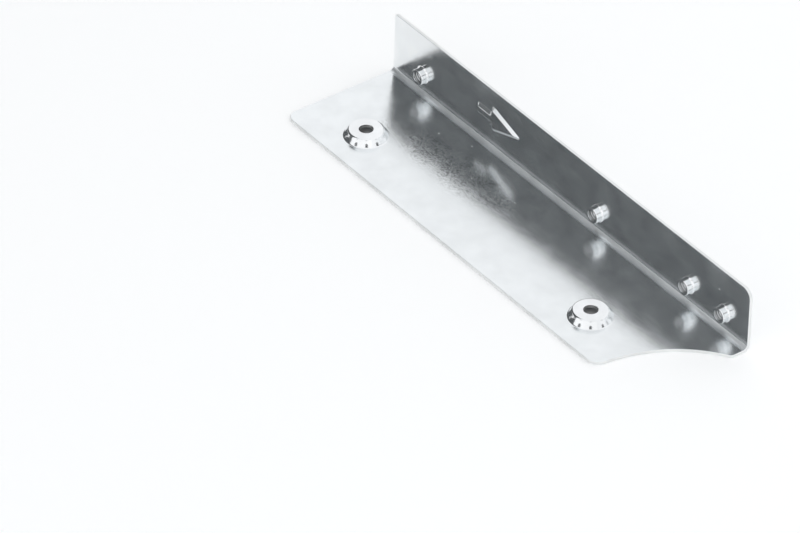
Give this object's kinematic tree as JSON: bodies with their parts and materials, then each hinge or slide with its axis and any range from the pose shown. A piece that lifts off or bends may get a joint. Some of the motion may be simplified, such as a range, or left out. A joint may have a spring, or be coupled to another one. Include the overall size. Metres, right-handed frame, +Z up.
{
  "type": "drive bay adapter bracket",
  "caption": "Folded steel bracket that holds one side of a small drive in a larger bay, with raised pierced seats, threaded collars and a curved end.",
  "frame": {"origin": "on the underside of the base, under the middle of the bracket's box", "axes": "+X along the fold to the curved end, +Y out of the flange's outer face to the bay's wall, +Z up off the base"},
  "size_m": [0.1194, 0.0294, 0.0152],
  "materials": {
    "plated_steel": "bright zinc plating, lightly satin"
  },
  "bodies": {
    "root": {"bracket": "plated_steel"}
  },
  "joints": []
}
